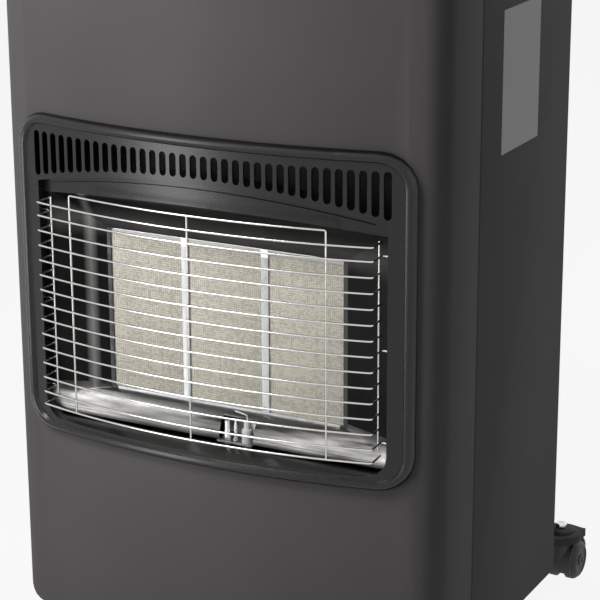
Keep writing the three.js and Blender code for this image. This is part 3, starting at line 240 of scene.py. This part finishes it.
world = bpy.data.worlds.new("white_surroundings")
world.use_nodes = True
bpy.context.scene.world = world
fill_level = 0.1
seen_level = 1.0
links = world.node_tree.links
sky = world.node_tree.nodes["Background"]
path = world.node_tree.nodes.new("ShaderNodeLightPath")
seen = world.node_tree.nodes.new("ShaderNodeMath")
seen.operation = "MAXIMUM"
links.new(path.outputs["Is Camera Ray"], seen.inputs[0])
links.new(path.outputs["Is Glossy Ray"], seen.inputs[1])
also = world.node_tree.nodes.new("ShaderNodeMath")
also.operation = "MAXIMUM"
links.new(seen.outputs[0], also.inputs[0])
links.new(path.outputs["Is Transmission Ray"], also.inputs[1])
level = world.node_tree.nodes.new("ShaderNodeMapRange")
level.inputs["To Min"].default_value = fill_level
level.inputs["To Max"].default_value = seen_level
links.new(also.outputs[0], level.inputs["Value"])
links.new(level.outputs[0], sky.inputs["Strength"])
sky.inputs["Color"].default_value = (1, 1, 1, 1)


def soft_lamp(name, place, target, width, height, power):
    """A rectangular lamp that looks from one place at another, with its power in watts."""
    bpy.ops.object.light_add(type="AREA", location=place)
    lamp = bpy.context.object
    lamp.name = name
    lamp.data.shape = "RECTANGLE"
    lamp.data.size = width
    lamp.data.size_y = height
    lamp.data.energy = power
    lamp.rotation_euler = (Vector(target) - Vector(place)).to_track_quat("-Z", "Y").to_euler()


soft_lamp("key_lamp", (-0.60, -1.04, 0.50), (-0.03, -0.15, 0.50), 0.22, 0.98, 4.6)
soft_lamp("high_lamp", (-0.46, -0.84, 1.3), (-0.06, -0.18, 0.6), 0.4, 0.4, 8.2)
soft_lamp("right_lamp", (2.3, -0.35, 0.9), (0.2, 0, 0.4), 0.16, 1.6, 1.6)
soft_lamp("top_lamp", (-0.5, 0.7, 2.6), (0, 0, 0.5), 1.4, 1.4, 16)
soft_lamp("rear_lamp", (1.2, 2.4, 1.5), (0, 0.2, 0.4), 1.2, 1.2, 14)
bpy.context.scene.view_settings.view_transform = "Standard"

# ---------------------------------------------------------------- painted cabinet
# The front pan, the two sides, the base tray and the lift-off rear cover are folded from 1.5 mm
# sheet steel and powder coated in a satin charcoal. Their folds are eased by the bending.


def solid_copy(node):
    """A merged copy of a solid, without the lines that its flat faces don't need."""
    only(frame["nodes"][node])
    bpy.ops.object.duplicate()
    piece = bpy.context.object
    piece.name = node + "_finished"
    del piece["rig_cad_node"]
    bpy.ops.object.mode_set(mode="EDIT")
    bpy.ops.mesh.select_all(action="SELECT")
    bpy.ops.mesh.remove_doubles(threshold=0.002 * mm)
    bpy.ops.mesh.dissolve_limited(angle_limit=math.radians(0.3))
    bpy.ops.object.mode_set(mode="OBJECT")
    return piece


def settle(piece, node, ease, smooth):
    """Eases the edges, smooths the curves and lets the piece stand in for its solid."""
    only(piece)
    if ease:
        bevel = piece.modifiers.new("ease", "BEVEL")
        bevel.width = ease
        bevel.segments = 2
        bevel.limit_method = "ANGLE"
        bevel.angle_limit = math.radians(smooth)
        bpy.ops.object.modifier_apply(modifier="ease")
    bpy.ops.object.shade_smooth_by_angle(angle=math.radians(smooth))
    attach(piece, frame["nodes"][node]["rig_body"])
    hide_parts(node)
    return piece


def refined(node, ease, smooth=32):
    """A solid's copy with edges eased by this much, smooth below this many degrees."""
    return settle(solid_copy(node), node, ease, smooth)


def dress(piece, finish):
    """Gives a piece its material."""
    piece.data.materials.clear()
    piece.data.materials.append(finish.material)


coat = Finish("charcoal_powder_coat", (0.112, 0.105, 0.110), 0.5, specular=0.0)
coat_speck = coat.grain(1.1 * mm, 3)
coat_cloud = coat.grain(90 * mm, 2)
coat_tone = coat_speck * 0.25 + coat_cloud * 0.75
coat.set(
    color=coat_tone.blend((0.100, 0.093, 0.098), (0.122, 0.115, 0.120)),
    roughness=coat_speck * 0.1 + 0.43,
    normal=coat.relief(coat_speck, 0.05 * mm, 0.35),
    coat=0.10,
    coat_roughness=0.32,
)
for sheet in ["front_panel", "left_side_panel", "right_side_panel", "base_tray", "rear_cover"]:
    dress(refined(sheet, 0.35 * mm), coat)
for corner in ["front_left", "front_right", "rear_left", "rear_right"]:
    dress(refined("castor_bracket_" + corner, 0.5 * mm), coat)

# ---------------------------------------------------------------- information plate
# A bare grey plate of anodised aluminium on the upper part of the right side panel, near the seam.
# It is glued on, so it stands proud of the sheet by its own small thickness.

plate_metal = Finish("bare_grey_plate", (0.45, 0.44, 0.44), 0.5, specular=0.1)
plate_brushing = plate_metal.grain(2 * mm, 3, (1, 1, 0.1))
plate_metal.set(color=plate_brushing.blend((0.42, 0.41, 0.41), (0.50, 0.49, 0.49)))
side_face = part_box("right_side_panel")[1].x
plate_sunk = 0.4 * mm
plate_proud = 0.05 * mm
plate_front = panel_corner + 121 * mm
plate_width = 82 * mm
plate_bottom = 486.6 * mm
plate_height = 121.8 * mm
plate_low = Vector((side_face - plate_sunk, plate_front, plate_bottom))
plate_back = plate_front + plate_width
plate_top = plate_bottom + plate_height
plate_high = Vector((side_face + plate_proud, plate_back, plate_top))
bpy.ops.mesh.primitive_cube_add(size=1)
plate = bpy.context.object
plate.name = "information_plate"
bpy.ops.object.mode_set(mode="EDIT")
bpy.ops.transform.resize(value=plate_high - plate_low)
bpy.ops.transform.translate(value=(plate_low + plate_high) / 2)
bpy.ops.object.mode_set(mode="OBJECT")
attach(plate, "cabinet")
dress(plate, plate_metal)

# ---------------------------------------------------------------- bezel
# A deep pressing in gloss black enamel round the burner's window, with a raised round rim, a band
# of slots, a stepped arch under it and a short duct behind. Its bulged face takes its shading from
# the true curve of the bulge, so that its reflection runs evenly across the slots.

enamel = Finish("gloss_black_enamel", (0.008, 0.007, 0.008), 0.28, specular=0.42)
enamel_wave = enamel.grain(14 * mm, 1)
enamel_dust = enamel.grain(0.8 * mm, 2)
enamel.set(
    roughness=enamel_dust * 0.06 + 0.24,
    normal=enamel.relief(enamel_wave, 0.25 * mm, 0.12),
)
bulge_radius = 672 * mm
bulge_centre = Vector((0, panel_corner + bulge_radius, 0))
face_tolerance = math.radians(8)
bezel = refined("bezel", 0.4 * mm, 30)
mesh = bezel.data
normals = [Vector((0, 0, 0))] * len(mesh.loops)
for face in mesh.polygons:
    for loop in face.loop_indices:
        outward = mesh.vertices[mesh.loops[loop].vertex_index].co - bulge_centre
        outward.z = 0
        if face.normal.angle(outward) < face_tolerance:
            normals[loop] = outward.normalized()
mesh.normals_split_custom_set(normals)
dress(bezel, enamel)

# ---------------------------------------------------------------- wire guard
# Round chromed wires: full-width ones with their ends bent back, of which some hook into the
# bezel's sides, a hoop that makes the short top wire and the outer uprights, a middle upright and
# a side wire in each return.

chrome = Finish("chromed_wire", (0.60, 0.59, 0.58), 0.14, 1.0)
chrome_haze = chrome.grain(5 * mm, 2)
chrome.set(roughness=chrome_haze * 0.1 + 0.1)
wire = 1.8 * mm
guard_half = 160 * mm
guard_upright = 122 * mm
guard_radius = 650 * mm
guard_front = panel_corner - 42 * mm
guard_return = 18 * mm
toe_in = 1 * mm
hook_end = 169 * mm


def guard_depth(x):
    """Where the bowed guard's face lies at this distance from its middle."""
    return guard_front + guard_radius - math.sqrt(guard_radius ** 2 - x * x)


def rounded(points, reach):
    """The same run of points with each corner replaced by a short curve."""
    steps = 4
    run = [Vector(points[0])]
    for before, corner, after in zip(points, points[1:], points[2:]):
        corner = Vector(corner)
        start = corner + (Vector(before) - corner).normalized() * reach
        end = corner + (Vector(after) - corner).normalized() * reach
        for step in range(steps + 1):
            part = step / steps
            run.append(start.lerp(corner, part).lerp(corner.lerp(end, part), part))
    return run + [Vector(points[-1])]


def round_wire(name, points, thickness):
    """A round wire along these points: a chain of edges given a round section."""
    bpy.ops.mesh.primitive_plane_add(size=1)
    piece = bpy.context.object
    piece.name = name
    bpy.ops.object.mode_set(mode="EDIT")
    bpy.ops.mesh.select_mode(type="VERT")
    bpy.ops.mesh.select_all(action="SELECT")
    bpy.ops.mesh.merge(type="CENTER")
    bpy.ops.transform.translate(value=points[0])
    for here, there in zip(points, points[1:]):
        move = {"value": Vector(there) - Vector(here)}
        bpy.ops.mesh.extrude_region_move(TRANSFORM_OT_translate=move)
    bpy.ops.object.mode_set(mode="OBJECT")
    only(piece)
    bpy.ops.object.convert(target="CURVE")
    piece = bpy.context.object
    piece.data.bevel_depth = thickness / 2
    piece.data.bevel_resolution = 3
    piece.data.use_fill_caps = True
    bpy.ops.object.convert(target="MESH")
    piece = bpy.context.object
    bpy.ops.object.shade_smooth_by_angle(angle=math.radians(50))
    return piece


def copied(piece, name, move):
    """A copy of a wire, moved in its mesh so that its origin stays."""
    only(piece)
    bpy.ops.object.duplicate()
    copy = bpy.context.object
    copy.name = name
    bpy.ops.object.mode_set(mode="EDIT")
    bpy.ops.mesh.select_all(action="SELECT")
    bpy.ops.transform.translate(value=move)
    bpy.ops.object.mode_set(mode="OBJECT")
    return copy


def joined(pieces, name):
    """All of these wires as one piece."""
    bpy.ops.object.select_all(action="DESELECT")
    for piece in pieces:
        piece.select_set(True)
    bpy.context.view_layer.objects.active = pieces[0]
    bpy.ops.object.join()
    pieces[0].name = name
    return pieces[0]


guard_low = 253 * mm
row_pitch = 13.4 * mm
end_pitch = 11.6 * mm
rows = [0] + [end_pitch + row_pitch * step for step in range(13)]
rows.append(rows[-1] + end_pitch)
guard_top = guard_low + rows[-1] + end_pitch
hooked_rows = [1, 7, 13]


def cross_wire(name, hooked):
    """A full-width wire in the lowest place, with its bent ends hooked outwards or plain."""
    steps = 14
    bow = [(guard_half * step / steps, guard_depth(guard_half * step / steps))
           for step in range(steps)]
    corner = (guard_half, guard_depth(guard_half))
    toe = (guard_half - toe_in, corner[1] + guard_return)
    if hooked:
        ends = [(toe[0], toe[1] + wire), (hook_end, toe[1] + wire)]
    else:
        ends = [(toe[0], toe[1] + 1.6 * mm)]
    flat = [Vector((x, y, guard_low)) for x, y in [bow[-1], corner, *ends]]
    side = rounded(flat, 2.6 * mm)
    right = [Vector((x, y, guard_low)) for x, y in bow[:-1]] + side
    left = [Vector((-place.x, place.y, place.z)) for place in reversed(right[1:])]
    return round_wire(name, left + right, wire)


plain_wire = cross_wire("guard_wire_0", False)
hooked_wire = cross_wire("guard_hooked_wire_1", True)
wires = []
for row, height in enumerate(rows):
    model = hooked_wire if row in hooked_rows else plain_wire
    wires.append(copied(model, f"guard_cross_{row}", (0, 0, height)))
bpy.data.objects.remove(plain_wire)
bpy.data.objects.remove(hooked_wire)
weld = 0.86 * wire
hoop = [(guard_upright, guard_low - wire / 2), (guard_upright, guard_top)]
hoop += [(guard_upright * (1 - step / 6), guard_top) for step in range(1, 12)]
hoop += [(-guard_upright, guard_top), (-guard_upright, guard_low - wire / 2)]
hoop = [Vector((x, guard_depth(x) + weld, z)) for x, z in hoop]
bent_hoop = rounded(hoop[:3], 2 * mm)[:-1] + hoop[2:-2] + rounded(hoop[-3:], 2 * mm)[1:]
wires.append(round_wire("guard_hoop", bent_hoop, wire))
middle = guard_depth(0) + weld
wires.append(round_wire("guard_middle", [
    Vector((0, middle, guard_low - wire)), Vector((0, middle, guard_top)),
], wire))
side_depth = guard_depth(guard_half) + guard_return
for side in [-1, 1]:
    x = side * (guard_half - toe_in - weld)
    wires.append(round_wire("guard_side", [
        Vector((x, side_depth, guard_low + rows[1] - 4 * wire)),
        Vector((x, side_depth, guard_low + rows[-1] + wire / 2)),
    ], wire))
guard = joined(wires, "wire_guard_finished")
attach(guard, "cabinet")
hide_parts("wire_guard")
dress(guard, chrome)

# ---------------------------------------------------------------- reflector
# A thin polished steel box that flares from the burner to the window, with a curved trough below.
# Its walls are painted dark as a reflection, with thin painted highlight lines at the left and on
# top, and its trough is a streaked painted reflection, brightest towards the bottom.

mirror_steel = Finish("polished_reflector_steel", (0.04, 0.038, 0.038), 0.26, 1.0)
rolling = mirror_steel.grain(2 * mm, 3, (1, 1, 0.08))
mottle = mirror_steel.grain(40 * mm, 2)
across, _, height = mirror_steel.axes()
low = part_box("reflector")[0].z
full_light = low + 15 * mm
trough_top = low + 27 * mm
# Painted reflection: the trough is coloured bright, fading upwards, and the walls near black with
# two painted highlight lines.
painted_reflection_fade = (1 - (height - full_light) * 90).both(1).either(0.3)
painted_reflection_mask = painted_reflection_fade * (height < trough_top)
streaks = mirror_steel.grain(9 * mm, 4, (0.12, 1, 1))
painted_glint_across = -131 * mm
painted_glint_height = 417 * mm
painted_side_glint = (1 - abs(across - painted_glint_across) * 160).either(0) * 0.30
painted_top_glint = (1 - abs(height - painted_glint_height) * 60).either(0) * 0.10
wall_painted_reflection = (painted_side_glint + painted_top_glint + 0.02) * (mottle + 0.5)
trough_painted_reflection = painted_reflection_mask * (streaks * 1.3 - 0.32) * (mottle + 0.5)
mirror_steel.set(
    color=wall_painted_reflection.either(trough_painted_reflection).blend((0.0, 0.0, 0.0), (0.62, 0.61, 0.60)),
    roughness=rolling * 0.16 + 0.3,
    normal=mirror_steel.relief(rolling, 0.03 * mm, 0.3),
)
dress(refined("reflector", 0.2 * mm, 30), mirror_steel)

# ---------------------------------------------------------------- burner
# Three pierced ceramic plaques behind a steel frame with two uprights between them, with a white
# strip of pressed fibre on top. Behind them is the galvanised mixing box with its three tubes.

zinc = Finish("galvanised_sheet", (0.46, 0.47, 0.48), 0.4, 0.9)
spangle = zinc.node(
    "ShaderNodeTexVoronoi", {}, {"Vector": zinc.place(), "Scale": 160.0}, "Color"
)
spangle_tone = zinc.node("ShaderNodeSeparateColor", {}, {"Color": spangle}, 0)
across, _, upward = zinc.axes()
plaques_half = 110 * mm
plaques_top = 402 * mm
# Painted light: the frame's top above the plaques is coloured near white as a highlight, its parts
# beyond the plaques near black as shade.
painted_shade_side = abs(across) > plaques_half
painted_highlight_top = (upward > plaques_top) * (1 - painted_shade_side)
spangle_color = spangle_tone.blend((0.40, 0.41, 0.42), (0.54, 0.55, 0.56))
painted_highlight_color = painted_highlight_top.blend(spangle_color, (0.95, 0.95, 0.93))
zinc.set(
    color=painted_shade_side.blend(painted_highlight_color, (0.05, 0.05, 0.05)),
    roughness=spangle_tone * 0.18 + 0.32,
)
for part in ["burner_frame", "pilot_bracket"]:
    dress(refined(part, 0.15 * mm, 30), zinc)
aged = Finish("heat_aged_zinc", (0.10, 0.10, 0.10), 0.65, 0.4, specular=0.2)
bloom = aged.grain(30 * mm, 3)
aged.set(color=bloom.blend((0.06, 0.06, 0.06), (0.16, 0.155, 0.15)))
for part in ["burner_plenum", "heat_shield"]:
    dress(refined(part, 0.15 * mm, 30), aged)

ceramic = Finish("pierced_ceramic", (0.74, 0.68, 0.57), 0.9, specular=0.1)
across, _, upward = ceramic.axes()
hole_pitch = 1.95 * mm
hole_radius = 0.6 * mm
groove_pitch = 6 * hole_pitch
groove_half = 0.4 * mm
from_column = across.repeat(hole_pitch)
from_row = upward.repeat(hole_pitch)
hole = from_row.maths("SQRT", from_column * from_column + from_row * from_row)
hole_mask = hole < hole_radius
column_groove = across.repeat(groove_pitch) < groove_half
row_groove = upward.repeat(groove_pitch) < groove_half
groove_mask = column_groove.either(row_groove)
speckle = ceramic.node(
    "ShaderNodeTexVoronoi", {}, {"Vector": ceramic.place(), "Scale": 640.0}, "Color"
)
speckle_tone = ceramic.node("ShaderNodeSeparateColor", {}, {"Color": speckle}, 0)
speckle_hue = ceramic.node("ShaderNodeSeparateColor", {}, {"Color": speckle}, 1)
clay = ceramic.grain(12 * mm, 3)
clay_color = clay.blend((0.93, 0.88, 0.76), (1.0, 0.96, 0.86))
tinted_color = (speckle_hue * 0.5).blend(clay_color, (0.80, 0.82, 0.70))
pitted_color = ((speckle_tone > 0.62) * 0.34).blend(tinted_color, (0.42, 0.36, 0.26))
# Painted shade: the holes and grooves are coloured darker, as the shade inside them.
pierced_color_with_painted_shade = (hole_mask * 0.5 + groove_mask * 0.14).blend(pitted_color, (0.22, 0.17, 0.11))
ceramic.set(
    color=pierced_color_with_painted_shade,
    normal=ceramic.relief(1 - hole_mask.either(groove_mask * 0.5), 0.5 * mm, 0.5),
)
for side in ["left", "centre", "right"]:
    dress(refined("ceramic_plaque_" + side, 0.3 * mm), ceramic)

fibre = Finish("pressed_fibre", (0.82, 0.80, 0.76), 0.95, specular=0.1)
fluff = fibre.grain(0.9 * mm, 4)
fibre.set(
    color=fluff.blend((0.90, 0.89, 0.86), (1.0, 1.0, 0.98)),
    normal=fibre.relief(fluff, 0.3 * mm, 0.5),
)
dress(refined("gasket_strip", 0.4 * mm), fibre)

# ---------------------------------------------------------------- pilot and gas train
# Brass injectors on a rail, copper pipes, and the pilot group: burner tube, probe and an electrode
# in a stepped white insulator.

brass = Finish("turned_brass", (0.60, 0.46, 0.20), 0.3, 1.0)
brass_turning = brass.grain(1.5 * mm, 2)
brass.set(roughness=brass_turning * 0.15 + 0.24)
copper = Finish("drawn_copper", (0.55, 0.29, 0.17), 0.35, 1.0)
copper_stain = copper.grain(9 * mm, 3)
copper.set(color=copper_stain.blend((0.36, 0.19, 0.12), (0.62, 0.34, 0.21)))
glaze = Finish("glazed_insulator", (0.86, 0.84, 0.80), 0.22)
glaze_tint = glaze.grain(6 * mm, 2)
glaze.set(color=glaze_tint.blend((0.92, 0.91, 0.89), (1.0, 1.0, 0.98)))
bright_zinc = Finish("bright_zinc_plate", (0.66, 0.67, 0.69), 0.25, 1.0)
zinc_stain = bright_zinc.grain(3 * mm, 2)
bright_zinc.set(roughness=zinc_stain * 0.15 + 0.2)
sheath = Finish("silicone_sheath", (0.20, 0.09, 0.05), 0.5)
sheath_grain = sheath.grain(1.2 * mm, 2)
sheath.set(roughness=sheath_grain * 0.2 + 0.4)
die_cast = Finish("tumbled_die_casting", (0.48, 0.48, 0.49), 0.45, 0.9)
casting = die_cast.grain(1 * mm, 3)
die_cast.set(normal=die_cast.relief(casting, 0.05 * mm, 0.4))
for part in ["gas_rail", "injector_left", "injector_centre", "injector_right", "hose_nozzle",
             "valve_plunger", "valve_spindle"]:
    dress(refined(part, 0.2 * mm), brass)
for part in ["supply_pipe", "pilot_pipe"]:
    dress(refined(part, 0, 60), copper)
dress(refined("ignition_lead", 0, 60), sheath)
dress(refined("spark_electrode", 0.2 * mm), glaze)
dress(refined("thermocouple", 0, 60), bright_zinc)
dress(refined("pilot_burner", 0.15 * mm), bright_zinc)
dress(refined("valve_body", 0.5 * mm), die_cast)

# ---------------------------------------------------------------- top and controls
# A moulded black top with a sloping front, and in it the control plate with a gas knob and a
# piezo button.

moulded = Finish("fine_grained_moulding", (0.030, 0.029, 0.030), 0.55)
leather = moulded.grain(0.9 * mm, 3)
moulded.set(
    roughness=leather * 0.16 + 0.46,
    normal=moulded.relief(leather, 0.12 * mm, 0.5),
)
for part in ["top_cover", "control_plate", "control_knob", "igniter_body", "igniter_button"]:
    dress(refined(part, 0.6 * mm, 30), moulded)

# ---------------------------------------------------------------- castors
# Hooded twin-wheel swivel castors with a bright bolt through a pressed bracket.

tread = Finish("wheel_rubber", (0.030, 0.030, 0.031), 0.62)
scuff = tread.grain(2 * mm, 3)
tread.set(roughness=scuff * 0.2 + 0.52)
for corner in ["front_left", "front_right", "rear_left", "rear_right"]:
    dress(refined("castor_bolt_" + corner, 0.3 * mm), bright_zinc)
    dress(refined("castor_hood_" + corner, 0.4 * mm), moulded)
    dress(refined("castor_axle_" + corner, 0.2 * mm), bright_zinc)
    for wheel in "ab":
        dress(refined(f"castor_wheel_{wheel}_{corner}", 0.5 * mm), tread)
